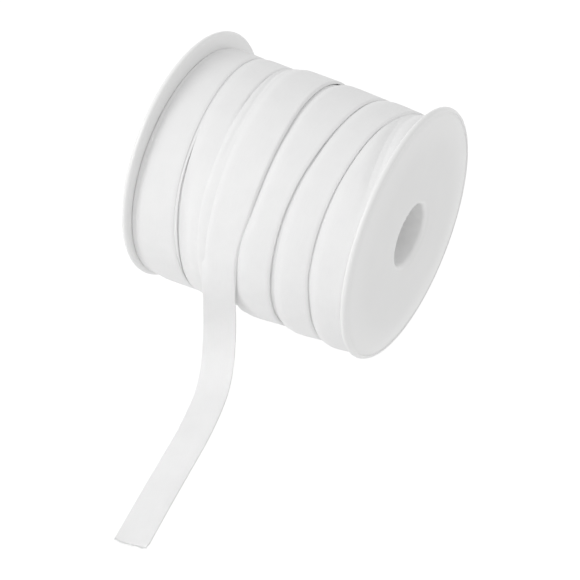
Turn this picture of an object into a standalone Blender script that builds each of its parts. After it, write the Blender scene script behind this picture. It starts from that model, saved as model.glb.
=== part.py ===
"""Roll of bias tape: a white plastic spool lying on its two rims, wound with white tape, one end hanging loose.

Metres, +Z up. X runs along the spool's axis, the loose end comes down at the front (-Y) and lies on the
surface there. The origin is the centre of the whole part's footprint, at the height of the surface.
"""

from collections import namedtuple
from math import cos, pi, radians, sin

import bmesh
import bpy
from mathutils import Vector

MM = 0.001

# Spool: two moulded halves, each a flange with half of the hollow core
FLANGE_RADIUS = 44.0 * MM
SPOOL_LENGTH = 86.4 * MM
FLANGE_THICKNESS = 3.1 * MM
RIM_ROUNDING = 1.4 * MM
SHOULDER_RADIUS = 34.0 * MM
BORE_RADIUS = 10.8 * MM
BORE_ROUNDING = 2.0 * MM
CORE_RADIUS = 13.2 * MM
SPIGOT_RADIUS = 11.9 * MM
SPIGOT_REACH = 4.0 * MM
GAP = 0.3 * MM
SEAT_DEPTH = 0.3 * MM
AXIS_HEIGHT = FLANGE_RADIUS - SEAT_DEPTH
SURFACE_DEPTH = 10 * MM
FLANGE_SIDES = 72
ROUNDING_STEP = pi / 6
CREASE_ANGLE = radians(35)

# Winding: the body of the roll, and the turns of tape that show on it
WINDING_SIDES = 60
WINDING_BORE = CORE_RADIUS + 0.4 * MM
WINDING_END = SPOOL_LENGTH / 2 - FLANGE_THICKNESS - GAP
BODY_RADIUS = 41.0 * MM
BODY_STEP = 0.9 * MM
BODY_STEP_PLACE = -14.0 * MM
TOP_TURNS_FOOT = 39.7 * MM
LOW_TURNS_FOOT = 39.1 * MM
SLACK = 3.0 * MM
SLACK_AT_BOTTOM = 2.4 * MM
SLACK_EASE = 0.3 * MM

# Section of one turn, from its left edge to its right one: the left side stands a little higher.
# The crests are placed by their share of the turn's width.
EDGE_SLOPE = 0.15 * MM
LEFT_CREST = 0.14
RIGHT_CREST = 0.77
CREST_RISE = 0.15 * MM
LEFT_EDGE_DROP = 0.25 * MM
RIGHT_EDGE_DROP = 0.4 * MM

# Turn angles are in degrees, counted on from the top of the roll towards the front and down.
# left and right are the turn's edges along the axis, and face is its radius, all in millimetres.
Turn = namedtuple("Turn", "angle left right face")

LOW_TURNS = (
    Turn(-150, -39.4, -35.3, 39.8),
    Turn(-90, -39.4, -31.6, 41.0),
    Turn(-20, -39.2, -27.9, 41.1),
    Turn(20, -38.5, -26.3, 41.1),
    Turn(60, -38.6, -24.6, 41.1),
    Turn(100, -38.2, -22.6, 41.1),
    Turn(130, -37.0, -21.6, 41.1),
    Turn(210, -34.6, -19.8, 41.1),
    Turn(270, -31.0, -17.2, 41.1),
    Turn(340, -27.5, -14.8, 41.1),
    Turn(380, -25.9, -13.2, 41.1),
    Turn(420, -23.7, -12.2, 41.0),
    Turn(460, -21.6, -11.6, 40.8),
    Turn(490, -20.8, -11.2, 40.7),
    Turn(600, -16.4, -11.0, 40.6),
)

TOP_TURNS = (
    Turn(-150, 37.6, 39.6, 40.9),
    Turn(-90, 33.8, 39.6, 41.4),
    Turn(-20, 30.6, 39.6, 41.6),
    Turn(20, 28.2, 39.6, 41.6),
    Turn(60, 27.3, 39.6, 41.6),
    Turn(100, 28.4, 39.6, 41.6),
    Turn(130, 28.4, 39.6, 41.6),
    Turn(210, 25.4, 37.0, 41.6),
    Turn(270, 21.8, 33.2, 41.6),
    Turn(340, 18.3, 30.1, 41.6),
    Turn(380, 16.8, 27.7, 41.6),
    Turn(420, 14.8, 26.8, 41.6),
    Turn(460, 14.6, 27.8, 41.7),
    Turn(490, 14.7, 27.8, 41.7),
    Turn(700, 4.6, 17.8, 41.9),
    Turn(740, 3.5, 16.3, 41.9),
    Turn(780, 2.9, 14.2, 41.9),
    Turn(820, 4.8, 13.6, 41.9),
    Turn(850, 5.0, 13.4, 41.9),
    Turn(1060, -16.0, -3.2, 41.7),
    Turn(1100, -15.4, -2.6, 41.7),
    Turn(1140, -16.2, -3.4, 41.4),
    Turn(1180, -14.8, -2.0, 41.3),
    Turn(1210, -14.8, -2.0, 41.4),
    Turn(1270, -14.7, -1.8, 41.6),
)

LAST_TURN = (
    Turn(1240, -14.5, -1.6, 41.75),
    Turn(1340, -14.8, -0.3, 42.2),
    Turn(1420, -14.2, 1.0, 42.3),
    Turn(1460, -12.3, 2.4, 42.3),
    Turn(1500, -12.3, 2.4, 42.3),
    Turn(1529.6, -12.4, 1.0, 42.45),
)

# Loose end: a strip that drops from the front of the roll, bends and lies on the surface
TAIL_WIDTH = 11.2 * MM
TAIL_START_WIDTH = 13.2 * MM
TAIL_NARROWS_OVER = 16.0 * MM
TAIL_THICKNESS = 1.0 * MM
TAIL_EDGE = 0.35 * MM
TAIL_LENGTH = 121.0 * MM
TAIL_BEND = 19.3 * MM
TAIL_START_X = -5.7 * MM
TAIL_START_OUT = 42.25 * MM
TAIL_STATIONS = 56
TAIL_CUT_SLANT = 0.75 * MM

# distance is along the strip in millimetres, and heading is in degrees from straight ahead (-Y) towards +X
Heading = namedtuple("Heading", "distance heading")

TAIL_HEADINGS = (
    Heading(0, 0.0),
    Heading(18, 16.4),
    Heading(34, 23.7),
    Heading(50, 18.2),
    Heading(66, 12.1),
    Heading(82, 8.1),
    Heading(121, 9.0),
)

TAPE_WHITE = (0.86, 0.86, 0.86, 1.0)
TAPE_ROUGHNESS = 0.85
SPOOL_WHITE = (0.78, 0.78, 0.77, 1.0)
SPOOL_ROUGHNESS = 0.32


def clear_scene():
    """Removes the objects that the scene opens with."""
    for old in list(bpy.data.objects):
        bpy.data.objects.remove(old)


def make_material(name, colour, roughness):
    """One plain Principled finish."""
    material = bpy.data.materials.new(name)
    material.use_nodes = True
    shader = material.node_tree.nodes["Principled BSDF"]
    shader.inputs["Base Color"].default_value = colour
    shader.inputs["Roughness"].default_value = roughness
    return material


def make_object(name, builder, material=None):
    """Turns a bmesh with its faces pointing out into an object in the scene."""
    bmesh.ops.recalc_face_normals(builder, faces=builder.faces)
    mesh = bpy.data.meshes.new(name)
    builder.to_mesh(mesh)
    builder.free()
    mesh.shade_smooth()
    mesh.set_sharp_from_angle(angle=CREASE_ANGLE)
    made = bpy.data.objects.new(name, mesh)
    bpy.context.scene.collection.objects.link(made)
    if material:
        mesh.materials.append(material)
    return made


def make_guide(name, builder):
    """A solid that is only joined to another or cut from it, and isn't a piece itself."""
    guide = make_object(name, builder)
    guide.hide_render = True
    guide.display_type = "WIRE"
    return guide


def combine(target, other, operation):
    """Joins other to target, or cuts it away."""
    boolean = target.modifiers.new(f"{operation.lower()} {other.name}", "BOOLEAN")
    boolean.operation = operation
    boolean.object = other
    boolean.solver = "EXACT"


def smooth_value(rows, key, column, at):
    """Reads one column of a table at a place between its rows, on a smooth curve through them."""
    places = [getattr(row, key) for row in rows]
    values = [getattr(row, column) for row in rows]
    if at <= places[0]:
        return values[0]
    if at >= places[-1]:
        return values[-1]
    i = max(k for k in range(len(places) - 1) if places[k] <= at)

    def slope(k):
        if k == 0 or k == len(places) - 1:
            return 0.0
        before = (values[k] - values[k - 1]) / (places[k] - places[k - 1])
        after = (values[k + 1] - values[k]) / (places[k + 1] - places[k])
        if before * after <= 0:
            return 0.0
        return 2 * before * after / (before + after)

    span = places[i + 1] - places[i]
    t = (at - places[i]) / span
    rise = values[i + 1] - values[i]
    start = slope(i) * span
    end = slope(i + 1) * span
    return values[i] + start * t + (3 * rise - 2 * start - end) * t**2 + (start + end - 2 * rise) * t**3


def bridge_rings(builder, rings, closed):
    """Joins each ring of points to the next with faces, and caps the two ends unless the rings close up."""
    made = [[builder.verts.new(point) for point in ring] for ring in rings]
    pairs = list(zip(made, made[1:]))
    if closed:
        pairs.append((made[-1], made[0]))
    for ring, following in pairs:
        count = len(ring)
        for i in range(count):
            j = (i + 1) % count
            builder.faces.new((ring[i], ring[j], following[j], following[i]))
    if not closed:
        builder.faces.new(made[0])
        builder.faces.new(made[-1])


def rim_profile(side):
    """Points of a flange's section from the bore, over its outer face and round its rim, as (x, radius)."""
    face = side * SPOOL_LENGTH / 2
    rim_face = face - side * (FLANGE_THICKNESS - 2 * RIM_ROUNDING)
    rim_centre = rim_face - side * RIM_ROUNDING
    points = []
    for step in range(round(pi / 2 / ROUNDING_STEP) + 1):
        turn = step * ROUNDING_STEP
        points.append((face - side * BORE_ROUNDING * (1 - sin(turn)),
                       BORE_RADIUS + BORE_ROUNDING * (1 - cos(turn))))
    points.append((face, SHOULDER_RADIUS))
    for step in range(round(pi / ROUNDING_STEP) + 1):
        turn = step * ROUNDING_STEP
        points.append((rim_centre + side * RIM_ROUNDING * cos(turn),
                       FLANGE_RADIUS - RIM_ROUNDING * (1 - sin(turn))))
    points.append((face - side * FLANGE_THICKNESS, CORE_RADIUS))
    return points


def spool_half(name, side, core_end, material):
    """One half of the spool, turned about X: a flange and half of the core, which ends in core_end."""
    profile = rim_profile(side) + core_end
    rings = []
    for step in range(FLANGE_SIDES):
        turn = 2 * pi * (step + 0.5) / FLANGE_SIDES
        rings.append([Vector((x, r * sin(turn), r * cos(turn))) for x, r in profile])
    builder = bmesh.new()
    bridge_rings(builder, rings, closed=True)
    return make_object(name, builder, material)


def slack_at(turn):
    """How far the tape stands off its round shape at an angle from the top: it hangs slack below."""
    hang = -SLACK * cos(turn)
    eased_from = SLACK_AT_BOTTOM - SLACK_EASE
    if hang < eased_from:
        return hang
    over = min((hang - eased_from) / (2 * SLACK_EASE), 1.0)
    return eased_from + 2 * SLACK_EASE * (over - over**2 / 2)


def roll_point(x, radius, turn):
    """A point on the roll at a radius and an angle from the top towards the front."""
    share = (radius - WINDING_BORE) / (BODY_RADIUS - WINDING_BORE)
    reach = radius + slack_at(turn) * share
    return Vector((x, -reach * sin(turn), reach * cos(turn)))


def roll_body(material):
    """The wound body under the turns that show, with the bore that fits the core."""
    low = BODY_RADIUS - BODY_STEP
    profile = (
        (-WINDING_END, WINDING_BORE),
        (-WINDING_END, low),
        (BODY_STEP_PLACE, low),
        (BODY_STEP_PLACE + BODY_STEP, BODY_RADIUS),
        (WINDING_END, BODY_RADIUS),
        (WINDING_END, WINDING_BORE),
    )
    rings = []
    for step in range(WINDING_SIDES):
        turn = 2 * pi * (step + 0.5) / WINDING_SIDES
        rings.append([roll_point(x, r, turn) for x, r in profile])
    builder = bmesh.new()
    bridge_rings(builder, rings, closed=True)
    return make_object("winding", builder, material)


def wound_turns(name, rows, foot):
    """One run of tape, round and round the roll, as a strip whose foot is sunk in the body."""
    step = 360.0 / WINDING_SIDES
    first, last = rows[0].angle, rows[-1].angle
    count = round((last - first) / step)
    rings = []
    for i in range(count + 1):
        at = first + (last - first) * i / count
        left = smooth_value(rows, "angle", "left", at) * MM
        right = smooth_value(rows, "angle", "right", at) * MM
        face = smooth_value(rows, "angle", "face", at) * MM
        width = right - left
        section = (
            (left, foot),
            (left + EDGE_SLOPE, face - LEFT_EDGE_DROP),
            (left + width * LEFT_CREST, face + CREST_RISE),
            (left + width * RIGHT_CREST, face),
            (right - EDGE_SLOPE, face - RIGHT_EDGE_DROP),
            (right, foot),
        )
        rings.append([roll_point(x, r, radians(at)) for x, r in section])
    builder = bmesh.new()
    bridge_rings(builder, rings, closed=False)
    return make_guide(name, builder)


def tail_fall(distance):
    """How far the loose end's middle line has come down, and how far it has run forward, at a distance."""
    drop = AXIS_HEIGHT - TAIL_BEND - TAIL_THICKNESS / 2
    if distance < drop:
        return distance, 0.0, 0.0
    turn = min((distance - drop) / TAIL_BEND, pi / 2)
    flat = distance - drop - TAIL_BEND * turn
    return drop + TAIL_BEND * sin(turn), TAIL_BEND * (1 - cos(turn)) + flat, turn


def tail_stations():
    """The loose end's middle line, as (distance, point, forward, across, up), about the spool's axis."""
    step = TAIL_LENGTH / TAIL_STATIONS
    x, y, run_before = TAIL_START_X, -TAIL_START_OUT, 0.0
    stations = []
    for i in range(TAIL_STATIONS + 1):
        distance = step * i
        fall, run, turn = tail_fall(distance)
        midway = max(distance - step / 2, 0.0)
        course = radians(smooth_value(TAIL_HEADINGS, "distance", "heading", midway / MM))
        x += (run - run_before) * sin(course)
        y -= (run - run_before) * cos(course)
        run_before = run
        heading = radians(smooth_value(TAIL_HEADINGS, "distance", "heading", distance / MM))
        forward = Vector((sin(turn) * sin(heading), -sin(turn) * cos(heading), -cos(turn)))
        across = Vector((cos(heading), sin(heading), 0.0))
        stations.append((distance, Vector((x, y, -fall)), forward, across, across.cross(forward)))
    return stations


def loose_end(material):
    """The loose end, one strip with softened edges and a slightly slanting cut."""
    stations = tail_stations()
    rings = []
    half_thickness = TAIL_THICKNESS / 2
    for distance, point, forward, across, up in stations:
        narrowed = min(distance / TAIL_NARROWS_OVER, 1.0)
        ease = narrowed * narrowed * (3 - 2 * narrowed)
        half = (TAIL_START_WIDTH + (TAIL_WIDTH - TAIL_START_WIDTH) * ease) / 2
        slant = forward * TAIL_CUT_SLANT if distance == stations[-1][0] else Vector()
        section = (
            (-half, 0.0),
            (-half + TAIL_EDGE, -half_thickness),
            (half - TAIL_EDGE, -half_thickness),
            (half, 0.0),
            (half - TAIL_EDGE, half_thickness),
            (-half + TAIL_EDGE, half_thickness),
        )
        rings.append([point + across * a + up * u - slant * (a / half) for a, u in section])
    builder = bmesh.new()
    bridge_rings(builder, rings, closed=False)
    return make_object("loose_end", builder, material)


def surface_block(depth):
    """The space under the surface, cut from what would press into it."""
    builder = bmesh.new()
    bmesh.ops.create_cube(builder, size=1.0)
    bmesh.ops.scale(builder, vec=Vector((SPOOL_LENGTH * 2, FLANGE_RADIUS * 2, depth)), verts=builder.verts)
    below = Vector((0.0, 0.0, -AXIS_HEIGHT - depth / 2))
    bmesh.ops.translate(builder, vec=below, verts=builder.verts)
    return make_guide("surface_block", builder)


def build():
    """Makes every piece about the spool's axis, then sets them all in the part's own frame."""
    clear_scene()
    plastic = make_material("spool_plastic", SPOOL_WHITE, SPOOL_ROUGHNESS)
    cloth = make_material("tape_cloth", TAPE_WHITE, TAPE_ROUGHNESS)

    plug_end = [
        (-SPIGOT_REACH, CORE_RADIUS),
        (-SPIGOT_REACH, SPIGOT_RADIUS),
        (SPIGOT_REACH, SPIGOT_RADIUS),
        (SPIGOT_REACH, BORE_RADIUS),
    ]
    socket_end = [
        (-SPIGOT_REACH + GAP, CORE_RADIUS),
        (-SPIGOT_REACH + GAP, SPIGOT_RADIUS + GAP),
        (SPIGOT_REACH + GAP, SPIGOT_RADIUS + GAP),
        (SPIGOT_REACH + GAP, BORE_RADIUS),
    ]
    left_half = spool_half("spool_left", -1, plug_end, plastic)
    right_half = spool_half("spool_right", 1, socket_end, plastic)
    winding = roll_body(cloth)
    low = wound_turns("low_turns", LOW_TURNS, LOW_TURNS_FOOT)
    top = wound_turns("top_turns", TOP_TURNS, TOP_TURNS_FOOT)
    last = wound_turns("last_turn", LAST_TURN, TOP_TURNS_FOOT)
    tail = loose_end(cloth)
    block = surface_block(SURFACE_DEPTH)

    for turns in (low, top, last):
        combine(winding, turns, "UNION")
    for piece in (left_half, right_half, winding):
        combine(piece, block, "DIFFERENCE")

    tail_reach = -min(vertex.co.y for vertex in tail.data.vertices)
    axis_y = (tail_reach - FLANGE_RADIUS) / 2
    for piece in (left_half, right_half, winding, low, top, last, tail, block):
        piece.location = Vector((0.0, axis_y, AXIS_HEIGHT))


build()
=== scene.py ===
"""Roll of white bias tape on a moulded spool, dressed and lit.

Metres, +Z up. X runs along the spool's axis, and the tape's loose end comes down at the front (-Y).
Sizes that are easier to read in millimetres are written so and turned to metres with MM.
"""

import logging
import math
from collections.abc import Sequence
from dataclasses import dataclass, field
from enum import Enum

import bpy
import numpy as np
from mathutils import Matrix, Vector

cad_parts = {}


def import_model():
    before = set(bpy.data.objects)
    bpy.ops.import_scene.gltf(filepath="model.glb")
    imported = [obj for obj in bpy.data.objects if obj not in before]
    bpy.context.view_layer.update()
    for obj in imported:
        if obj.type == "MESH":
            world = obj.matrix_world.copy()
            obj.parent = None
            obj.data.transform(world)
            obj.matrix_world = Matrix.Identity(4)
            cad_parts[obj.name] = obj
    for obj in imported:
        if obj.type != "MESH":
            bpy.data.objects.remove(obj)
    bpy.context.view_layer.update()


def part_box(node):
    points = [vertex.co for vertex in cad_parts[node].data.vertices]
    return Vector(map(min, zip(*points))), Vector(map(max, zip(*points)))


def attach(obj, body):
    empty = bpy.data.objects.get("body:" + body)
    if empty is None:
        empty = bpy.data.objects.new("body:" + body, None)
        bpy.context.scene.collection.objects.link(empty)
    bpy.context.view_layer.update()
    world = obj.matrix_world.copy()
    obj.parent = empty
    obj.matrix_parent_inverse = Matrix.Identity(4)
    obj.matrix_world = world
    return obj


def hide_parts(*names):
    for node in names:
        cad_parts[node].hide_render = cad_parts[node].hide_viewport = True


MM = 0.001
AXIS_HEIGHT = 43.7 * MM
FLAT_MAP = "TapeUV"
WANDER_SPEEDS = (1.3, 2.9, 5.3, 9.1)
LOG = logging.getLogger("bias_tape_roll")


class Side(Enum):
    """The two ends of the spool, by their direction along X."""

    LEFT = -1
    RIGHT = 1


class Slot(Enum):
    """The record's material slots."""

    SPOOL = "spool"
    TAPE = "tape"


def smoothstep(value: np.ndarray | float) -> np.ndarray:
    """Eases a share from 0 to 1, flat at both ends.

    Args:
        value: The share, which may run past 0 and 1.

    Returns:
        The eased share.
    """
    share = np.clip(value, 0.0, 1.0)
    return share * share * (3.0 - 2.0 * share)


def smooth_curve(places: Sequence[float], values: Sequence[float], at: np.ndarray) -> np.ndarray:
    """Reads a smooth curve through a table's points that never swings past them.

    Args:
        places: Where the points stand, rising.
        values: The value at each point.
        at: Where the curve is read.

    Returns:
        The curve's values at those places.
    """
    x, y = np.asarray(places, float), np.asarray(values, float)
    rise = np.diff(y) / np.diff(x)
    slope = np.zeros_like(y)
    before, after = rise[:-1], rise[1:]
    same_way = before * after > 0
    total = np.where(same_way, before + after, 1.0)
    slope[1:-1] = np.where(same_way, 2.0 * before * after / total, 0.0)
    place = np.clip(at, x[0], x[-1])
    i = np.clip(np.searchsorted(x, place, side="right") - 1, 0, len(x) - 2)
    span = x[i + 1] - x[i]
    t = (place - x[i]) / span
    step = y[i + 1] - y[i]
    start, end = slope[i] * span, slope[i + 1] * span
    return y[i] + start * t + (3 * step - 2 * start - end) * t**2 + (start + end - 2 * step) * t**3


def leave_edit_and_deselect() -> None:
    """Returns to object mode with nothing selected."""
    if bpy.context.object and bpy.context.object.mode != "OBJECT":
        bpy.ops.object.mode_set(mode="OBJECT")
    bpy.ops.object.select_all(action="DESELECT")


def make_active(piece: bpy.types.Object) -> None:
    """Selects one object alone and makes it the active one."""
    leave_edit_and_deselect()
    piece.select_set(True)
    bpy.context.view_layer.objects.active = piece


def settle_in_place(piece: bpy.types.Object) -> None:
    """Puts an object's place, turn and scale into its mesh."""
    make_active(piece)
    bpy.ops.object.transform_apply(location=True, rotation=True, scale=True)


def draw_out_ring(name: str, section: Sequence[tuple[float, float]], sides: int, axis_y: float = 0.0,
                  axis_z: float = 0.0) -> bpy.types.Object:
    """Turns a closed shell about an axis along X, by drawing a ring of points out along its section.

    Args:
        name: The piece's name.
        section: The section's points as (x, radius), each once.
        sides: How many points the ring has.
        axis_y: The axis's place from front to back.
        axis_z: The axis's height.

    Returns:
        The shell, in object mode.
    """
    x, radius = section[0]
    leave_edit_and_deselect()
    bpy.ops.mesh.primitive_circle_add(vertices=sides, radius=radius, fill_type="NOTHING",
                                      location=(x, axis_y, axis_z), rotation=(0.0, math.pi / 2, 0.0))
    shell = bpy.context.object
    shell.name = shell.data.name = name
    bpy.ops.object.mode_set(mode="EDIT")
    bpy.ops.mesh.select_all(action="SELECT")
    for (x, radius), (next_x, next_radius) in zip(section, section[1:]):
        bpy.ops.mesh.extrude_edges_move(TRANSFORM_OT_translate={"value": (next_x - x, 0.0, 0.0)})
        grow = next_radius / radius
        bpy.ops.transform.resize(value=(1.0, grow, grow), center_override=(next_x, axis_y, axis_z))
    bpy.ops.mesh.select_all(action="DESELECT")
    bpy.ops.mesh.select_non_manifold(extend=False)
    bpy.ops.mesh.bridge_edge_loops()
    bpy.ops.mesh.select_all(action="SELECT")
    bpy.ops.mesh.normals_make_consistent(inside=False)
    bpy.ops.object.mode_set(mode="OBJECT")
    settle_in_place(shell)
    return shell


def vertex_places(mesh: bpy.types.Mesh) -> np.ndarray:
    """Every vertex's place, as (vertices, 3)."""
    places = np.empty(len(mesh.vertices) * 3)
    mesh.vertices.foreach_get("co", places)
    return places.reshape(-1, 3)


def write_flat_map(mesh: bpy.types.Mesh, layer: bpy.types.MeshUVLoopLayer, flat: np.ndarray) -> None:
    """Writes each vertex's place on the cloth into the UV map that the cloth reads.

    Args:
        mesh: The mesh.
        layer: Its UV map.
        flat: The places in millimetres, as (vertices, 2).
    """
    corners = np.empty(len(mesh.loops), dtype=int)
    mesh.loops.foreach_get("vertex_index", corners)
    layer.name = FLAT_MAP
    layer.data.foreach_set("uv", flat[corners].ravel())


def mount_piece(piece: bpy.types.Object, nodes: Sequence[str]) -> None:
    """Hangs a finished piece on the part.

    Args:
        piece: The finished object.
        nodes: The plain solids that it stands for.
    """
    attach(piece, "root")
    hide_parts(*nodes)
    LOG.info("%s: %d faces", piece.name, len(piece.data.polygons))


class Socket:
    """A number coming out of a node, on which arithmetic adds Math nodes."""

    def __init__(self, graph: "Graph", output: bpy.types.NodeSocket) -> None:
        """Keeps the output and the graph that it belongs to."""
        self.graph = graph
        self.output = output

    def math(self, operation: str, first: object, second: object = None) -> "Socket":
        """Adds one Math node.

        Args:
            operation: The Math node's operation.
            first: The first number or socket.
            second: The second one, where the operation takes two.

        Returns:
            The result.
        """
        values = {0: first} if second is None else {0: first, 1: second}
        return self.graph.add("ShaderNodeMath", {"operation": operation}, values)[0]

    def __add__(self, other: object) -> "Socket":
        """This plus other."""
        return self.math("ADD", self, other)

    __radd__ = __add__

    def __sub__(self, other: object) -> "Socket":
        """This minus other."""
        return self.math("SUBTRACT", self, other)

    def __rsub__(self, other: object) -> "Socket":
        """Other minus this."""
        return self.math("SUBTRACT", other, self)

    def __mul__(self, other: object) -> "Socket":
        """This times other."""
        return self.math("MULTIPLY", self, other)

    __rmul__ = __mul__

    def __pow__(self, other: object) -> "Socket":
        """This to a power."""
        return self.math("POWER", self, other)

    def sine(self) -> "Socket":
        """The sine of this, in radians."""
        return self.math("SINE", self)

    def size(self) -> "Socket":
        """This without its sign."""
        return self.math("ABSOLUTE", self)

    def between(self, low: float, high: float) -> "Socket":
        """Eases from 0 where this is low to 1 where it is high."""
        settings = {"interpolation_type": "SMOOTHSTEP"}
        values = {"Value": self, "From Min": low, "From Max": high}
        return self.graph.add("ShaderNodeMapRange", settings, values)[0]


class Graph:
    """A material's node tree, with one method that adds every node."""

    def __init__(self, name: str) -> None:
        """Makes a material with only its output and its Principled shader."""
        self.material = bpy.data.materials.new(name)
        self.material.use_nodes = True
        self.tree = self.material.node_tree
        self.shader = self.tree.nodes["Principled BSDF"]

    def add(self, kind: str, settings: dict[str, object] | None = None,
            values: dict[object, object] | None = None) -> list[Socket]:
        """Adds a node, sets it and fills its inputs.

        Args:
            kind: The node's type.
            settings: Properties that are set first.
            values: Numbers, tuples or sockets, by input name or index.

        Returns:
            The node's outputs, in order.
        """
        node = self.tree.nodes.new(kind)
        for key, value in (settings or {}).items():
            setattr(node, key, value)
        for key, value in (values or {}).items():
            self.feed(node.inputs[key], value)
        return [Socket(self, output) for output in node.outputs if output.enabled]

    def feed(self, entry: bpy.types.NodeSocket, value: object) -> None:
        """Links a socket to an input, or sets the input to a constant."""
        if isinstance(value, Socket):
            self.tree.links.new(value.output, entry)
        else:
            entry.default_value = value

    def dress(self, **values: object) -> bpy.types.Material:
        """Fills the Principled shader's inputs, with underscores for the spaces in their names."""
        for key, value in values.items():
            self.feed(self.shader.inputs[key.replace("_", " ")], value)
        return self.material

    def blend_colours(self, share: Socket, first: Socket | tuple, second: Socket | tuple) -> Socket:
        """Mixes two colours by a share."""
        pair = [colour if isinstance(colour, Socket) else (*colour, 1.0) for colour in (first, second)]
        return self.add("ShaderNodeMix", {"data_type": "RGBA"}, {0: share, 6: pair[0], 7: pair[1]})[0]

    def noise(self, place: Socket, scale: float, detail: float) -> Socket:
        """Reads soft noise at a place."""
        return self.add("ShaderNodeTexNoise", None, {"Vector": place, "Scale": scale, "Detail": detail})[0]

    def bump(self, height: Socket, distance: float, strength: float, under: Socket | None = None) -> Socket:
        """Turns a height into a bumped normal, on top of another one if it is given."""
        values = {"Height": height, "Distance": distance, "Strength": strength}
        if under:
            values["Normal"] = under
        return self.add("ShaderNodeBump", None, values)[0]


@dataclass(frozen=True)
class BiasCloth:
    """White cotton in a plain weave that runs aslant, since the tape is cut on the bias.

    The piece's UV map is in millimetres: across the cloth, then along it.
    """

    bright: tuple[float, float, float] = (0.86, 0.86, 0.86)
    dull: tuple[float, float, float] = (0.82, 0.82, 0.822)
    thread_pitch: float = 0.36
    thread_wander: float = 0.25
    thread_relief: float = 0.03 * MM
    ridge_power: float = 0.6
    slub_stretch: tuple[float, float, float] = (3.2, 0.18, 1.0)
    slub_relief: float = 0.05 * MM
    roughness: float = 0.82
    sheen: float = 0.25
    sheen_roughness: float = 0.45

    def make(self, name: str) -> bpy.types.Material:
        """Builds the material.

        Args:
            name: The material's name.

        Returns:
            The finished material.
        """
        graph = Graph(name)
        flat_place = graph.add("ShaderNodeUVMap", {"uv_map": FLAT_MAP})[0]
        across, along, _ = graph.add("ShaderNodeSeparateXYZ", None, {0: flat_place})
        wander = (graph.noise(flat_place, 0.9, 2.0) - 0.5) * self.thread_wander
        turns = 2.0 * math.pi / (self.thread_pitch * math.sqrt(2.0) * 2.0)
        warp = (across + along + wander) * turns
        weft = (across - along + wander) * turns
        over = warp.sine() * weft.sine()
        ridge = over.size() ** self.ridge_power
        weave = ridge * (over * 3.0).between(-1.0, 1.0) * 0.35 + ridge * 0.65
        one_way, other_way = (
            graph.add("ShaderNodeMapping", None,
                      {"Vector": flat_place, "Rotation": (0.0, 0.0, slant), "Scale": self.slub_stretch})[0]
            for slant in (math.radians(45), math.radians(-45)))
        slubs = graph.noise(one_way, 1.0, 1.0) * 0.5 + graph.noise(other_way, 1.0, 1.0) * 0.5
        cloudy = graph.noise(flat_place, 0.12, 2.0)
        fine = graph.bump(weave, self.thread_relief, 0.6)
        surface = graph.bump(slubs, self.slub_relief, 0.5, fine)
        tone = (weave * 0.35 + slubs * 0.45 + cloudy * 0.5).between(0.3, 0.85)
        return graph.dress(
            Base_Color=graph.blend_colours(tone, self.dull, self.bright),
            Roughness=(1.0 - weave * 0.12) * self.roughness,
            Normal=surface,
            Sheen_Weight=self.sheen,
            Sheen_Roughness=self.sheen_roughness,
            Specular_IOR_Level=0.3,
        )


@dataclass(frozen=True)
class MouldedPlastic:
    """White injection-moulded plastic with a soft satin shine, with a painted highlight that pales it towards
    the rim and painted light that brightens the bore.
    """

    axis_y: float
    axis_z: float
    bright: tuple[float, float, float] = (0.84, 0.84, 0.835)
    shaded: tuple[float, float, float] = (0.81, 0.81, 0.807)
    # Painted highlight: a paler tone towards the rim that stands in for light on the rounded shoulder.
    painted_rim_highlight: tuple[float, float, float] = (0.87, 0.87, 0.867)
    # Painted light: a paler tone inside the bore that stands in for light reaching into it.
    bore_painted_light: tuple[float, float, float] = (0.94, 0.94, 0.937)
    rim_highlight_from: float = 29.0 * MM
    rim_highlight_to: float = 41.0 * MM
    bore_from: float = 12.6 * MM
    bore_to: float = 11.0 * MM
    roughness: float = 0.3
    texture_relief: float = 0.02 * MM

    def make(self, name: str) -> bpy.types.Material:
        """Builds the material.

        Args:
            name: The material's name.

        Returns:
            The finished material.
        """
        graph = Graph(name)
        place = graph.add("ShaderNodeTexCoord")[3]
        cloudy = graph.noise(place, 35.0, 3.0)
        orange_peel = graph.noise(place, 900.0, 1.0)
        fine = graph.noise(place, 4000.0, 2.0)
        brushed = graph.add("ShaderNodeMapping", None, {"Vector": place, "Scale": (900.0, 60.0, 160.0)})[0]
        rubbed = graph.noise(brushed, 1.0, 2.0).between(0.62, 0.8)
        _, back, up = graph.add("ShaderNodeSeparateXYZ", None, {0: place})
        outward = ((back - self.axis_y) ** 2 + (up - self.axis_z) ** 2) ** 0.5
        moulded = graph.blend_colours(cloudy.between(0.3, 0.7), self.shaded, self.bright)
        # Painted highlight: eases to the paler rim tone between these two radii.
        faced = graph.blend_colours(outward.between(self.rim_highlight_from, self.rim_highlight_to), moulded, self.painted_rim_highlight)
        # Painted light: the inside of the bore gets a paler colour in place of light that would reach it.
        in_bore = 1.0 - outward.between(self.bore_to, self.bore_from)
        return graph.dress(
            Base_Color=graph.blend_colours(in_bore, faced, self.bore_painted_light),
            Roughness=cloudy * 0.1 + rubbed * 0.02 + fine * 0.05 + (self.roughness - 0.05),
            Normal=graph.bump(orange_peel * 0.7 + fine * 0.3, self.texture_relief, 0.35),
            IOR=1.49,
            Subsurface_Weight=0.06,
            Subsurface_Radius=(0.004, 0.004, 0.004),
        )


@dataclass(frozen=True)
class PaleSurface:
    """The plain pale surface that the roll lies on."""

    colour: tuple[float, float, float] = (0.2, 0.2, 0.2)
    glow: float = 0.88

    def make(self, name: str) -> bpy.types.Material:
        """Builds the material."""
        graph = Graph(name)
        return graph.dress(Base_Color=(*self.colour, 1.0), Roughness=0.9, Specular_IOR_Level=0.1,
                           Emission_Color=(1.0, 1.0, 1.0, 1.0), Emission_Strength=self.glow)


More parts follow.
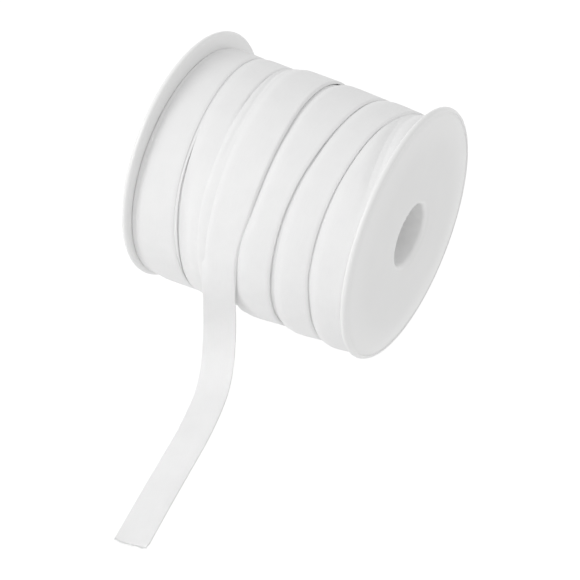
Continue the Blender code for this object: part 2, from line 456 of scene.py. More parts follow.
@dataclass
class Spool:
    """Both halves of the spool, each turned from one ring of points that is drawn out along its section."""

    axis_y: float
    axis_z: float
    finish: bpy.types.Material
    length: float = 86.4 * MM
    flange_radius: float = 44.0 * MM
    flange_thickness: float = 3.1 * MM
    rim_rounding: float = 1.4 * MM
    shoulder_from: float = 31.5 * MM
    shoulder_fall: float = 0.8 * MM
    rim_line_at: float = 42.35 * MM
    shoulder_clearance: float = 0.6 * MM
    rim_line_depth: float = 0.14 * MM
    rim_line_half_width: float = 0.12 * MM
    rim_set_out: float = 0.1 * MM
    face_rings: tuple[float, float] = (20.0 * MM, 27.0 * MM)
    back_ring: float = 30.0 * MM
    core_rounding: float = 0.6 * MM
    bore_radius: float = 10.8 * MM
    bore_rounding: float = 2.0 * MM
    core_radius: float = 13.2 * MM
    spigot_radius: float = 11.9 * MM
    spigot_reach: float = 4.0 * MM
    joint_gap: float = 0.3 * MM
    sides: int = 160

    def outer_section(self) -> list[tuple[float, float]]:
        """The section from the bore, over the outer face and round the rim.

        Returns:
            Points as (distance in from the end plane, radius).
        """
        points = []
        for turn in np.linspace(0.0, math.pi / 2, 9):
            points.append((self.bore_rounding * (1 - math.sin(turn)),
                           self.bore_radius + self.bore_rounding * (1 - math.cos(turn))))
        points += [(0.0, radius) for radius in self.face_rings]
        rim_start = self.flange_radius - self.rim_rounding
        for share in np.linspace(0.0, 1.0, 8):
            radius = self.shoulder_from + (rim_start - self.shoulder_clearance - self.shoulder_from) * share
            points.append((self.shoulder_fall * share**2, radius))
        fall = self.shoulder_fall
        points.append((fall + self.rim_line_depth, self.rim_line_at - self.rim_line_half_width))
        points.append((fall + self.rim_line_depth, self.rim_line_at + self.rim_line_half_width))
        centre = fall + self.rim_rounding - self.rim_set_out
        back = self.flange_thickness - fall + self.rim_set_out - self.rim_rounding
        for turn in np.linspace(0.0, math.pi, 15):
            deep = self.rim_rounding if math.cos(turn) > 0 else back
            points.append((centre - deep * math.cos(turn),
                           self.flange_radius - self.rim_rounding * (1 - math.sin(turn))))
        points.append((self.flange_thickness, self.back_ring))
        points.append((self.flange_thickness, self.core_radius + self.core_rounding))
        points.append((self.flange_thickness + self.core_rounding, self.core_radius))
        return points

    def half_section(self, side: Side) -> list[tuple[float, float]]:
        """The whole closed section of one half, as (x, radius)."""
        end = side.value * self.length / 2
        points = [(end - side.value * inward, radius) for inward, radius in self.outer_section()]
        reach, gap = self.spigot_reach, self.joint_gap
        if side is Side.LEFT:
            inner = [(-reach, self.core_radius), (-reach, self.spigot_radius),
                     (reach, self.spigot_radius), (reach, self.bore_radius)]
        else:
            socket = self.spigot_radius + gap
            inner = [(gap - reach, self.core_radius), (gap - reach, socket),
                     (gap + reach, socket), (gap + reach, self.bore_radius)]
        return points + inner

    def draw_half(self, side: Side) -> bpy.types.Object:
        """Turns one half of the spool.

        Args:
            side: Which half.

        Returns:
            The finished half.
        """
        half = draw_out_ring(f"moulded_{side.name.lower()}", self.half_section(side), self.sides,
                             self.axis_y, self.axis_z)
        self.flatten_contact(half)
        bpy.ops.object.shade_smooth_by_angle(angle=math.radians(32))
        half.data.materials.append(self.finish)
        return half

    def flatten_contact(self, half: bpy.types.Object) -> None:
        """Presses the lowest bit of the rim flat, where the spool rests."""
        bpy.ops.object.mode_set(mode="EDIT")
        bpy.ops.mesh.select_all(action="DESELECT")
        bpy.ops.object.mode_set(mode="OBJECT")
        for vertex in half.data.vertices:
            vertex.select = vertex.co.z < 0.0
        bpy.ops.object.mode_set(mode="EDIT")
        bpy.ops.transform.resize(value=(1.0, 1.0, 0.0), center_override=(0.0, 0.0, 0.0))
        bpy.ops.object.mode_set(mode="OBJECT")

    def build(self) -> None:
        """Makes both halves and hangs them on the part."""
        for side in Side:
            half = self.draw_half(side)
            mount_piece(half, [f"spool_{side.name.lower()}"])


@dataclass(frozen=True)
class FoldedSection:
    """Section of the tape: a flat face, a fold at each edge, and a flap turned in under each half."""

    cloth: float = 0.28 * MM
    fold_radius: float = 0.19 * MM
    slit: float = 0.5 * MM
    face_columns: int = 30
    edge_bias: float = 0.11
    flap_columns: int = 3
    fold_columns: int = 5

    @property
    def depth(self) -> float:
        """The tape's whole thickness."""
        return 2 * self.fold_radius + self.cloth

    def points(self, width: np.ndarray) -> tuple[np.ndarray, np.ndarray, np.ndarray]:
        """Lays the middle of the cloth out for each width of the tape.

        Args:
            width: The tape's whole width at each station.

        Returns:
            The place across, the height above the tape's middle, and the distance along the cloth
            from the middle of the face, each as (stations, columns).
        """
        half = (width / 2 - self.cloth / 2 - self.fold_radius)[:, None]
        r = self.fold_radius
        flap = np.linspace(0.0, 1.0, self.flap_columns + 1)[None, :-1]
        bend = np.linspace(0.0, 1.0, self.fold_columns + 1)[None, :-1]
        face = np.linspace(0.0, 1.0, self.face_columns + 1)[None, :]
        lean = face - self.edge_bias * np.sin(2 * np.pi * face)
        left_flap = -self.slit / 2 * (1 - flap) - half * flap
        left_fold = -half - r * np.sin(bend * math.pi)
        across_face = half * (2 * lean - 1)
        right_fold = half + r * np.sin(bend[:, 1:] * math.pi)
        right_flap = np.flip(-left_flap, axis=1)
        across = np.hstack([left_flap, left_fold, across_face, right_fold, half, right_flap])
        low, high = np.full_like(flap, -1.0), np.ones_like(face)
        level = [low, -np.cos(bend * math.pi), high, np.cos(bend[:, 1:] * math.pi), [[-1.0]], low]
        height = r * np.hstack(level) * np.ones_like(half)
        steps = np.hypot(np.diff(across, axis=1), np.diff(height, axis=1))
        run = np.hstack([np.zeros_like(half), np.cumsum(steps, axis=1)])
        return across, height, run - run[:, -1:] / 2


@dataclass
class TapeMaker:
    """Turns rows of points into a strip of folded tape with its own flat map."""

    section: FoldedSection
    finish: bpy.types.Material

    def strip(self, name: str, points: np.ndarray, flat: np.ndarray) -> bpy.types.Object:
        """Shapes a flat grid into a strip and gives the cloth its thickness.

        Args:
            name: The piece's name.
            points: Where each point of the cloth's middle lies, as (stations, columns, 3).
            flat: Its place on the cloth in millimetres, as (stations, columns, 2).

        Returns:
            The finished strip.
        """
        stations, columns = points.shape[:2]
        leave_edit_and_deselect()
        bpy.ops.mesh.primitive_grid_add(x_subdivisions=columns - 1, y_subdivisions=stations - 1, size=2.0)
        strip = bpy.context.object
        strip.name = strip.data.name = name
        mesh = strip.data
        share = vertex_places(mesh)[:, :2] / 2 + 0.5
        column = np.rint(share[:, 0] * (columns - 1)).astype(int)
        station = np.rint(share[:, 1] * (stations - 1)).astype(int)
        mesh.vertices.foreach_set("co", points[station, column].ravel())
        write_flat_map(mesh, mesh.uv_layers[0], flat[station, column])
        mesh.update()
        wall = strip.modifiers.new("cloth", "SOLIDIFY")
        wall.thickness = self.section.cloth
        wall.offset = 0.0
        wall.use_even_offset = True
        bpy.ops.object.modifier_apply(modifier=wall.name)
        settle_in_place(strip)
        bpy.ops.object.mode_set(mode="EDIT")
        bpy.ops.mesh.select_all(action="SELECT")
        bpy.ops.mesh.normals_make_consistent(inside=False)
        bpy.ops.object.mode_set(mode="OBJECT")
        bpy.ops.object.shade_smooth_by_angle(angle=math.radians(40))
        mesh.materials.append(self.finish)
        return strip


@dataclass(frozen=True)
class Turn:
    """One row of a winding table.

    The angle is in degrees from the top of the roll towards the front and down. left and right are the
    tape's edges along the axis and face is its radius, in millimetres.
    """

    angle: float
    left: float
    right: float
    face: float


@dataclass(frozen=True)
class Furrow:
    """A soft dip that runs aslant over the tape, from one angle to another.

    The places along the axis, the depth and the width are in millimetres. A depth below zero is a rise, and
    fade is how many degrees the dip takes to begin and to end.
    """

    angles: tuple[float, ...]
    places: tuple[float, ...]
    depth: float
    width: float
    fade: float


LOW_TURNS = (
    Turn(-176, -39.9, -31.3, 40.0),
    Turn(-150, -39.9, -30.5, 40.9),
    Turn(-90, -39.9, -29.2, 41.0),
    Turn(-20, -39.9, -27.9, 41.1),
    Turn(20, -39.9, -26.4, 41.1),
    Turn(60, -39.9, -24.9, 41.1),
    Turn(80, -39.9, -24.1, 41.1),
    Turn(100, -39.1, -22.8, 41.1),
    Turn(120, -38.0, -21.8, 41.1),
    Turn(150, -36.0, -21.2, 41.1),
    Turn(210, -32.6, -19.2, 41.1),
    Turn(270, -29.6, -16.8, 41.1),
    Turn(340, -27.5, -14.4, 41.1),
    Turn(380, -25.7, -12.6, 41.1),
    Turn(420, -23.4, -11.2, 41.1),
    Turn(440, -22.3, -10.2, 41.0),
    Turn(480, -21.0, -8.6, 41.0),
    Turn(520, -20.4, -7.2, 40.8),
    Turn(700, -13.6, 1.1, 40.6),
    Turn(860, -7.4, 7.1, 40.6),
    Turn(1060, -0.2, 14.5, 40.6),
    Turn(1220, 6.2, 20.9, 40.6),
    Turn(1420, 13.6, 28.3, 40.6),
    Turn(1580, 20.0, 34.7, 40.6),
    Turn(1780, 27.2, 39.6, 40.6),
    Turn(1860, 28.6, 39.6, 40.6),
    Turn(1980, 31.0, 39.6, 40.6),
    Turn(2020, 32.0, 39.6, 40.6),
)

UNDER_TURN = (
    Turn(-150, -40.05, -29.5, 40.4),
    Turn(-20, -40.05, -26.4, 40.4),
    Turn(20, -40.05, -25.0, 40.4),
    Turn(45, -40.05, -24.5, 40.45),
    Turn(60, -40.05, -24.1, 40.55),
    Turn(80, -40.05, -23.0, 40.55),
    Turn(100, -40.05, -22.1, 40.5),
    Turn(130, -40.05, -22.4, 40.4),
    Turn(210, -40.05, -31.0, 40.4),
)

TOP_TURNS = (
    Turn(-178, 33.4, 39.6, 40.0),
    Turn(-145, 33.0, 39.6, 41.5),
    Turn(-90, 31.8, 39.6, 41.6),
    Turn(-20, 30.6, 39.6, 41.6),
    Turn(0, 29.1, 39.6, 41.6),
    Turn(20, 28.2, 39.6, 41.6),
    Turn(40, 27.5, 39.6, 41.6),
    Turn(60, 27.3, 39.6, 41.6),
    Turn(80, 27.5, 39.6, 41.6),
    Turn(100, 28.5, 39.6, 41.6),
    Turn(130, 29.0, 39.6, 41.6),
    Turn(210, 25.4, 38.4, 41.6),
    Turn(270, 21.8, 34.6, 41.6),
    Turn(340, 18.3, 30.1, 41.6),
    Turn(360, 17.7, 28.5, 41.6),
    Turn(380, 16.8, 27.6, 41.6),
    Turn(400, 15.6, 26.8, 41.6),
    Turn(420, 14.9, 26.5, 41.6),
    Turn(440, 14.7, 26.6, 41.6),
    Turn(460, 14.9, 27.5, 41.7),
    Turn(490, 15.1, 27.9, 41.7),
    Turn(570, 11.6, 24.2, 41.8),
    Turn(700, 0.8, 17.9, 42.0),
    Turn(720, 1.2, 17.1, 41.9),
    Turn(740, 1.8, 16.0, 41.9),
    Turn(760, 1.9, 14.6, 41.9),
    Turn(780, 1.8, 13.6, 41.9),
    Turn(800, 0.6, 13.2, 41.9),
    Turn(820, -0.9, 13.0, 41.9),
    Turn(850, -2.8, 12.9, 41.9),
    Turn(920, -5.0, 10.0, 41.8),
    Turn(1060, -16.0, -3.2, 41.7),
    Turn(1100, -15.4, -2.6, 41.65),
    Turn(1140, -16.2, -3.4, 41.75),
    Turn(1160, -15.4, -2.6, 41.8),
    Turn(1190, -14.8, -3.8, 41.7),
    Turn(1215, -15.4, -6.5, 41.4),
    Turn(1234, -15.3, -5.6, 41.5),
    Turn(1256, -15.1, -4.4, 41.0),
)

LAST_TURN = (
    Turn(1228, -15.3, -5.9, 41.0),
    Turn(1252, -15.1, -4.6, 41.6),
    Turn(1340, -14.8, 0.2, 42.2),
    Turn(1420, -14.0, 1.6, 42.3),
    Turn(1440, -13.0, 2.1, 42.3),
    Turn(1460, -12.2, 2.9, 42.3),
    Turn(1480, -12.2, 3.1, 42.2),
    Turn(1500, -12.2, 2.8, 42.2),
    Turn(1530, -12.3, 0.9, 42.3),
)

LOW_FURROWS = (
    Furrow((285, 340, 360, 380, 398), (-16.7, -16.3, -15.9, -15.7, -15.9), 0.8, 0.45, 34.0),
    Furrow((402, 420, 440, 460, 480), (-22.2, -21.0, -19.9, -19.1, -18.5), 0.75, 2.2, 24.0),
    Furrow((385, 420, 460, 505), (-13.5, -13.5, -13.5, -13.5), -0.45, 4.5, 30.0),
    Furrow((820, 845, 870, 910), (-5.0, -5.2, -5.4, -5.6), 0.3, 3.0, 24.0),
    Furrow((-150, -60, 60, 200), (-40.2, -40.2, -40.0, -40.0), 0.8, 1.3, 20.0),
)

TOP_FURROWS = (
    Furrow((-70, -16, 3, 25, 48), (31.6, 32.6, 34.2, 36.6, 38.4), 1.1, 2.2, 24.0),
    Furrow((630, 700, 720, 740, 760, 780, 800), (1.9, 1.9, 2.4, 3.2, 3.4, 3.1, 2.5), 0.85, 1.6, 30.0),
    Furrow((790, 815, 835, 858), (0.5, 0.9, 0.9, 0.5), 0.45, 3.4, 22.0),
    Furrow((1005, 1060, 1080, 1100, 1138), (-15.1, -14.7, -13.5, -12.7, -12.7), 0.35, 0.75, 34.0),
    Furrow((1098, 1120, 1140, 1160, 1200), (-15.8, -16.2, -16.4, -15.6, -15.0), 0.7, 1.2, 20.0),
)


@dataclass
class RollShape:
    """How the wound tape hangs about the spool's axis: round above, slack in front, flat where it lies."""

    axis_y: float
    axis_z: float
    slack: float = 3.0 * MM
    inner_radius: float = 13.6 * MM
    outer_radius: float = 41.0 * MM
    fullest: float = 42.05 * MM
    clearance: float = 0.06 * MM

    def place(self, x: np.ndarray, radius: np.ndarray, turn: np.ndarray) -> np.ndarray:
        """Finds points on the roll.

        Args:
            x: Places along the axis.
            radius: Radii before the tape hangs.
            turn: Angles in radians from the top towards the front.

        Returns:
            The points, with a last axis of three.
        """
        hang = -self.slack * np.cos(turn)
        share = (radius - self.inner_radius) / (self.outer_radius - self.inner_radius)
        below = np.maximum(-np.cos(turn), 0.01)
        pressed = np.minimum((self.axis_z - self.clearance) / below / (self.fullest + hang), 1.0)
        reach = (radius + hang * share) * pressed
        return np.stack([x + 0 * reach, self.axis_y - reach * np.sin(turn),
                         self.axis_z + reach * np.cos(turn)], axis=-1)


@dataclass
class WoundTape:
    """One run of tape, round and round the roll."""

    name: str
    rows: tuple[Turn, ...]
    roll: RollShape
    maker: TapeMaker
    seed: int
    crest: float = 0.12 * MM
    crest_at: float = 0.24
    slope_from: float = 0.2
    slope_over: float = 0.9
    left_drop: float = 0.2 * MM
    right_drop: float = 0.35 * MM
    right_drop_below: float = 0.28 * MM
    right_roll: float = 0.3 * MM
    roll_width: float = 1.2 * MM
    sink: float = 0.0
    sink_from: float = 500.0
    sinks_over: float = 90.0
    settles_over: float = 20.0
    furrows: tuple[Furrow, ...] = ()
    step: float = 2.5
    unevenness: float = 0.05 * MM
    edge_wander: float = 0.05 * MM
    last_section: dict[str, np.ndarray] = field(default_factory=dict)

    def wander(self, turn: np.ndarray, size: float, draw: int) -> np.ndarray:
        """A slow, small unevenness along the tape, the same each run."""
        generator = np.random.default_rng(self.seed + draw)
        value = np.zeros_like(turn)
        for speed in WANDER_SPEEDS:
            value += np.sin(turn * speed + generator.uniform(0, 2 * math.pi)) / speed
        return value * size

    def cross_shape(self, share: np.ndarray, width: np.ndarray, turn: np.ndarray) -> np.ndarray:
        """How high the tape's face stands over its width.

        Args:
            share: The place over the width, from 0 at the left edge to 1 at the right.
            width: The tape's width.
            turn: The angle in radians.

        Returns:
            The height above the table's face.
        """
        drop = self.right_drop + self.right_drop_below * (1 - np.cos(turn))
        rise = -self.left_drop + (self.left_drop + self.crest) * smoothstep(share / self.crest_at)
        rolled = self.right_roll * (1 - smoothstep((1 - share) * width / self.roll_width))
        slope = smoothstep((share - self.slope_from) / self.slope_over)
        return rise - rolled - (drop + self.crest) * slope

    def furrow_depth(self, furrow: Furrow, x: np.ndarray, angle: np.ndarray) -> np.ndarray:
        """How deep a furrow is at each point."""
        line = smooth_curve(furrow.angles, furrow.places, angle) * MM
        begins = smoothstep((angle - furrow.angles[0]) / furrow.fade)
        ends = smoothstep((furrow.angles[-1] - angle) / furrow.fade)
        return furrow.depth * MM * begins * ends * np.exp(-(((x - line) / (furrow.width * MM)) ** 2))

    def build(self) -> None:
        """Winds the tape, hangs it on the part and keeps its last section for the loose end."""
        keys = [row.angle for row in self.rows]
        count = round((keys[-1] - keys[0]) / self.step)
        angle = np.linspace(keys[0], keys[-1], count + 1)
        turn = np.radians(angle)
        left = smooth_curve(keys, [row.left for row in self.rows], angle) * MM
        right = smooth_curve(keys, [row.right for row in self.rows], angle) * MM
        face = smooth_curve(keys, [row.face for row in self.rows], angle) * MM
        settle = smoothstep((keys[-1] - angle) / self.settles_over)
        left += self.wander(turn, self.edge_wander, 10) * settle
        right += self.wander(turn, self.edge_wander, 20) * settle
        face += self.wander(turn, self.unevenness, 30) * settle
        sunk = smoothstep((angle - self.sink_from) / self.sinks_over)
        face -= self.sink * sunk * (1 - np.cos(turn)) / 2
        width = right - left
        across, height, run = self.maker.section.points(width)
        x = ((left + right) / 2)[:, None] + across
        share = (x - left[:, None]) / width[:, None]
        lean = self.cross_shape(share, width[:, None], turn[:, None])
        for furrow in self.furrows:
            lean -= self.furrow_depth(furrow, x, angle[:, None])
        radius = face[:, None] - self.maker.section.depth / 2 + height + lean
        points = self.roll.place(x, radius, turn[:, None] + 0 * x)
        stretch = np.linalg.norm(np.diff(points[:, points.shape[1] // 2], axis=0), axis=1)
        along = np.concatenate([[0.0], np.cumsum(stretch)])
        along -= along[-1]
        flat = np.stack([run, along[:, None] + 0 * run], axis=-1) / MM
        outward = np.array([0.0, -math.sin(turn[-1]), math.cos(turn[-1])])
        self.last_section = {"points": points[-1], "before": points[-2], "lean": lean[-1], "width": width[-1],
                             "rise": outward * (height[-1] + lean[-1]).mean()}
        mount_piece(self.maker.strip(self.name, points, flat), ["winding"])


@dataclass
class InnerWinding:
    """The body of wound tape under the turns that show, with the bore that sits round the core."""

    roll: RollShape
    finish: bpy.types.Material
    half_length: float = 39.75 * MM
    left_radius: float = 39.8 * MM
    right_radius: float = 39.2 * MM
    step_at: float = -14.0 * MM
    edge: float = 0.4 * MM
    sides: int = 120

    def build(self) -> None:
        """Turns the body and hangs it on the part."""
        end, inner, edge = self.half_length, self.roll.inner_radius, self.edge
        section = [(-end, inner), (-end, self.left_radius - edge), (edge - end, self.left_radius),
                   (self.step_at - edge, self.left_radius), (self.step_at + edge, self.right_radius),
                   (end - edge, self.right_radius), (end, self.right_radius - edge), (end, inner)]
        body = draw_out_ring("inner_winding", section, self.sides)
        mesh = body.data
        x, y, z = vertex_places(mesh).T
        turn, radius = np.arctan2(-y, z), np.hypot(y, z)
        mesh.vertices.foreach_set("co", self.roll.place(x, radius, turn).ravel())
        write_flat_map(mesh, mesh.uv_layers[0], np.stack([x + radius, turn * radius], axis=-1) / MM)
        mesh.update()
        bpy.ops.object.shade_smooth_by_angle(angle=math.radians(30))
        mesh.materials.append(self.finish)
        mount_piece(body, ["winding"])


@dataclass
class CutThreads:
    """The short ends of yarn that stand out of the tape's cut."""

    finish: bpy.types.Material
    count: int = 90
    radius: float = 0.05 * MM
    shortest: float = 0.3 * MM
    longest: float = 1.1 * MM
    rooted: float = 0.35
    points_each: int = 5
    sideways: float = 0.45
    upwards: float = 0.16
    seed: int = 5

    def build(self, cut: np.ndarray, forward: np.ndarray, across: np.ndarray,
              lowest: float) -> bpy.types.Object:
        """Sets the threads along the cut and hangs them on the part.

        Args:
            cut: The points of the cloth's middle along the cut.
            forward: The way the tape runs there.
            across: The way from its left edge to its right.
            lowest: The height that no thread goes below.

        Returns:
            The finished piece.
        """
        generator = np.random.default_rng(self.seed)
        curve = bpy.data.curves.new("cut_threads", "CURVE")
        curve.dimensions = "3D"
        curve.bevel_depth, curve.bevel_resolution, curve.use_fill_caps = self.radius, 1, True
        for place in generator.uniform(0.0, len(cut) - 1.001, self.count):
            index = int(place)
            root = cut[index] + (cut[index + 1] - cut[index]) * (place - index)
            length = generator.uniform(self.shortest, self.longest)
            aside, lift = generator.normal(0.0, self.sideways), generator.normal(0.0, self.upwards)
            spline = curve.splines.new("POLY")
            spline.points.add(self.points_each - 1)
            for point, share in zip(spline.points, np.linspace(-self.rooted, 1.0, self.points_each)):
                bow = aside * max(share, 0.0) ** 2
                spot = root + length * (forward * share + across * bow)
                spot[2] = max(spot[2] + lift * length * max(share, 0.0), lowest + self.radius)
                point.co = (*spot, 1.0)
        threads = bpy.data.objects.new("cut_threads", curve)
        bpy.context.scene.collection.objects.link(threads)
        make_active(threads)
        bpy.ops.object.convert(target="MESH")
        mesh = threads.data
        write_flat_map(mesh, mesh.uv_layers.new(name=FLAT_MAP), vertex_places(mesh)[:, :2] / MM)
        mesh.materials.clear()
        mesh.materials.append(self.finish)
        mount_piece(threads, ["loose_end"])
        return threads


@dataclass(frozen=True)
class Heading:
    """One row of the loose end's course: a distance in millimetres and degrees off straight ahead."""

    distance: float
    heading: float


@dataclass
class LooseEnd:
    """The last length of the tape, from where it leaves the roll to its cut end on the surface."""

    roll: RollShape
    maker: TapeMaker
    start: dict[str, np.ndarray]
    width: float = 11.2 * MM
    narrows_over: float = 18.0 * MM
    length: float = 121.0 * MM
    bend_radius: float = 19.3 * MM
    lies_at: float = 0.05 * MM
    cut_beyond: float = 1.2 * MM
    cut_slant: float = 0.25 * MM
    corner: float = 2.2 * MM
    left_corner: float = 0.75 * MM
    fray: float = 0.13 * MM
    cut_zone: float = 8.0 * MM
    cut_lift: float = 0.2 * MM
    straightens_over: float = 8.0 * MM
    start_fades_over: float = 14.0 * MM
    cupping: float = 0.18 * MM
    cup_level: float = 0.4
    cups_over: float = 25.0 * MM
    cupped_to: float = 30.0 * MM
    stations: int = 242
    substeps: int = 4
    drop_rounds: int = 4
    course: tuple[Heading, ...] = (
        Heading(0, 0.0), Heading(18, 16.4), Heading(34, 23.7), Heading(50, 18.2),
        Heading(66, 12.1), Heading(82, 8.1), Heading(121, 9.0),
    )

    def steer(self, distance: np.ndarray, drop: float, lean: float) -> np.ndarray:
        """The angle of the tape off straight down, at each distance.

        Args:
            distance: Distances along the tape.
            drop: Where the bend begins.
            lean: The angle at which the tape leaves the roll.

        Returns:
            Angles in radians, up to a quarter turn where the tape lies flat.
        """
        leaving = lean * (1 - smoothstep(distance / self.straightens_over))
        bending = np.clip((distance - drop) / self.bend_radius, 0.0, math.pi / 2)
        return np.maximum(leaving, bending)

    def centre_line(self) -> dict[str, np.ndarray]:
        """Follows the tape's middle from the roll to the cut.

        Returns:
            Distances, points, directions, the way across and the way up, at each station.
        """
        way = self.start["points"].mean(axis=0) - self.start["before"].mean(axis=0)
        middle = self.start["points"].mean(axis=0) - self.start["rise"]
        lean = math.atan2(-way[1], -way[2])
        depth = self.maker.section.depth
        fine = np.linspace(0.0, self.length, self.stations * self.substeps + 1)
        step = fine[1] - fine[0]
        height = middle[2] - self.lies_at - depth / 2
        drop = height - self.bend_radius
        for _ in range(self.drop_rounds):
            angle = self.steer(fine, drop, lean)
            fallen = np.cumsum(np.cos((angle[1:] + angle[:-1]) / 2)) * step
            drop += height - fallen[-1]
        keys = [row.distance * MM for row in self.course]
        heading = np.radians(smooth_curve(keys, [row.heading for row in self.course], fine))
        mid_angle, mid_heading = (angle[1:] + angle[:-1]) / 2, (heading[1:] + heading[:-1]) / 2
        moves = np.stack([np.sin(mid_angle) * np.sin(mid_heading), -np.sin(mid_angle) * np.cos(mid_heading),
                          -np.cos(mid_angle)], axis=-1) * step
        points = np.vstack([middle, middle + np.cumsum(moves, axis=0)])
        forward = np.stack([np.sin(angle) * np.sin(heading), -np.sin(angle) * np.cos(heading),
                            -np.cos(angle)], axis=-1)
        across = np.stack([np.cos(heading), np.sin(heading), 0 * heading], axis=-1)
        picked = slice(None, None, self.substeps)
        return {"distance": fine[picked], "point": points[picked], "forward": forward[picked],
                "across": across[picked], "up": np.cross(forward, across)[picked]}

    def cut_shift(self, share: np.ndarray) -> np.ndarray:
        """How far the cut lies beyond the tape's nominal length, over its width.

        Args:
            share: The place across, from -1 at the left edge to 1 at the right.

        Returns:
            The shift along the tape.
        """
        fray = self.fray * (np.sin(share * 31.0) + 0.6 * np.sin(share * 57.0 + 1.0))
        rounding = self.corner * smoothstep((share - 0.88) / 0.095) ** 2
        rounding += self.left_corner * smoothstep((-share - 0.66) / 0.3)
        return self.cut_beyond - self.cut_slant * share - rounding + fray

    def build(self) -> None:
        line = self.centre_line()
        distance = line["distance"]
        narrowed = smoothstep(distance / self.narrows_over)
        width = self.start["width"] + (self.width - self.start["width"]) * narrowed
        across, height, run = self.maker.section.points(width)
        share = np.clip(2 * across / width[:, None], -1.0, 1.0)
        near_cut = smoothstep((distance - (self.length - self.cut_zone)) / self.cut_zone)[:, None]
        shift = near_cut * self.cut_shift(share)
        cupped = self.cupping * (share**2 - self.cup_level) * smoothstep(distance / self.cups_over)[:, None]
        flattened = 1 - smoothstep((distance - self.cupped_to) / self.cups_over)[:, None]
        lifted = self.cut_lift * near_cut * smoothstep((-share - 0.1) / 0.9)
        keep_start = (1 - smoothstep(distance / self.start_fades_over))[:, None]
        lean = self.start["lean"][None, :] * keep_start
        offset = height + cupped * flattened + lifted + lean
        points = (line["point"][:, None] + line["across"][:, None] * across[..., None]
                  + line["up"][:, None] * offset[..., None] + line["forward"][:, None] * shift[..., None])
        points[..., 2] = np.maximum(points[..., 2], self.lies_at + self.maker.section.cloth / 2)
        points[0] = self.start["points"]
        flat = np.stack([run, distance[:, None] + shift], axis=-1) / MM
        piece = self.maker.strip("tape_end", points, flat)
        mount_piece(piece, ["loose_end"])
        threads = CutThreads(self.maker.finish).build(points[-1], line["forward"][-1], line["across"][-1],
                                                      self.lies_at)


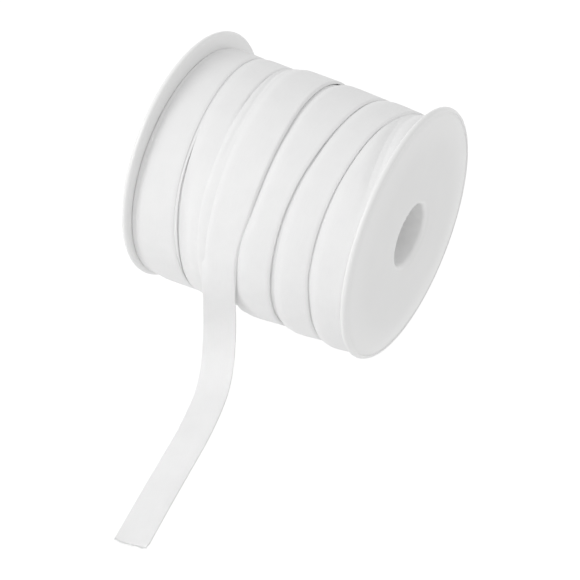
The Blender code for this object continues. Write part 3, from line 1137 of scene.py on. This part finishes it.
@dataclass
class Studio:
    """The surface, the soft light and the camera."""

    target: tuple[float, float, float]
    azimuth: float = 29.79
    elevation: float = 43.53
    distance: float = 0.76
    lens: float = 134.0
    sensor_width: float = 36.0
    room_light: float = 0.76
    surface_size: float = 6.0
    surface_drop: float = 0.0002

    def direction_to(self, azimuth: float, elevation: float) -> Vector:
        """The direction from the roll to a place round it, in degrees."""
        a, e = math.radians(azimuth), math.radians(elevation)
        return Vector((math.sin(a) * math.cos(e), -math.cos(a) * math.cos(e), math.sin(e)))

    def add_camera(self) -> None:
        """Sets the camera where the photograph's was."""
        data = bpy.data.cameras.new("camera")
        data.lens = self.lens
        data.sensor_width = self.sensor_width
        data.clip_start, data.clip_end = 0.05, 20.0
        camera = bpy.data.objects.new("camera", data)
        bpy.context.scene.collection.objects.link(camera)
        back = self.direction_to(self.azimuth, self.elevation)
        camera.location = Vector(self.target) + back * self.distance
        camera.rotation_euler = (math.radians(90 - self.elevation), 0.0, math.radians(self.azimuth))
        bpy.context.scene.camera = camera

    def add_lamp(self, name: str, azimuth: float, elevation: float, away: float, size: float, power: float,
                 aim: tuple[float, float, float] = (0.0, 0.0, 0.03), spread: float = 180.0) -> None:
        """Adds a square soft light that faces one place.

        Args:
            name: The light's name.
            azimuth: Its place round the roll, in degrees.
            elevation: Its height above the horizon, in degrees.
            away: Its distance.
            size: Its side.
            power: Its power in watts.
            aim: The place that it faces.
            spread: How widely it shines, in degrees.
        """
        data = bpy.data.lights.new(name, "AREA")
        data.shape, data.size, data.energy = "SQUARE", size, power
        data.spread = math.radians(spread)
        lamp = bpy.data.objects.new(name, data)
        bpy.context.scene.collection.objects.link(lamp)
        back = self.direction_to(azimuth, elevation)
        lamp.location = Vector(aim) + back * away
        lamp.rotation_euler = back.to_track_quat("Z", "Y").to_euler()

    def add_world(self) -> None:
        """Fills the room with even white light."""
        world = bpy.data.worlds.new("soft_room")
        world.use_nodes = True
        backdrop = world.node_tree.nodes["Background"]
        backdrop.inputs["Color"].default_value = (1.0, 1.0, 1.0, 1.0)
        backdrop.inputs["Strength"].default_value = self.room_light
        bpy.context.scene.world = world

    def add_surface(self) -> None:
        """Adds the plain surface under the roll."""
        leave_edit_and_deselect()
        bpy.ops.mesh.primitive_plane_add(size=self.surface_size, location=(0.0, 0.0, -self.surface_drop))
        surface = bpy.context.object
        surface.name = "surface"
        surface.data.materials.append(PaleSurface().make("pale_surface"))
        surface.visible_diffuse = False
        surface.visible_shadow = False
        settle_in_place(surface)

    def build(self) -> None:
        """Sets up the whole studio."""
        bpy.context.scene.view_settings.view_transform = "Standard"
        self.add_camera()
        self.add_surface()
        self.add_world()
        self.add_lamp("key", azimuth=-48.0, elevation=34.0, away=1.4, size=0.6, power=6.4)
        self.add_lamp("front_fill", azimuth=-14.0, elevation=42.0, away=0.7, size=0.08, power=0.004,
                      aim=(-0.012, -0.047, 0.006), spread=13.0)


def main() -> None:
    """Builds the dressed part and its studio."""
    logging.basicConfig(level=logging.INFO, format="%(name)s: %(message)s")
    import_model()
    low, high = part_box("spool_right")
    axis_y, axis_z = (low.y + high.y) / 2, AXIS_HEIGHT

    cloth = BiasCloth().make("tape_cotton")
    plastic = MouldedPlastic(axis_y, axis_z).make("spool_plastic")

    Studio(target=(-2.962 * MM, axis_y, -2.641 * MM)).build()
    Spool(axis_y, axis_z, plastic).build()

    roll = RollShape(axis_y, axis_z)
    maker = TapeMaker(FoldedSection(), cloth)
    InnerWinding(roll, cloth).build()
    WoundTape("low_turns", LOW_TURNS, roll, maker, right_drop=0.12 * MM, right_drop_below=0.08 * MM,
              right_roll=0.2 * MM, sink=0.4 * MM, furrows=LOW_FURROWS, seed=3).build()
    WoundTape("under_turn", UNDER_TURN, roll, maker, left_drop=-0.32 * MM, right_drop=0.05 * MM,
              right_drop_below=0.0, right_roll=0.05 * MM, seed=7).build()
    WoundTape("top_turns", TOP_TURNS, roll, maker, furrows=TOP_FURROWS, seed=11).build()
    last = WoundTape("last_turn", LAST_TURN, roll, maker, left_drop=0.7 * MM, right_drop=0.05 * MM,
                     right_drop_below=0.0, right_roll=0.5 * MM, roll_width=0.8 * MM, seed=23)
    last.build()
    LooseEnd(roll, maker, last.last_section).build()


if __name__ == "__main__":
    main()
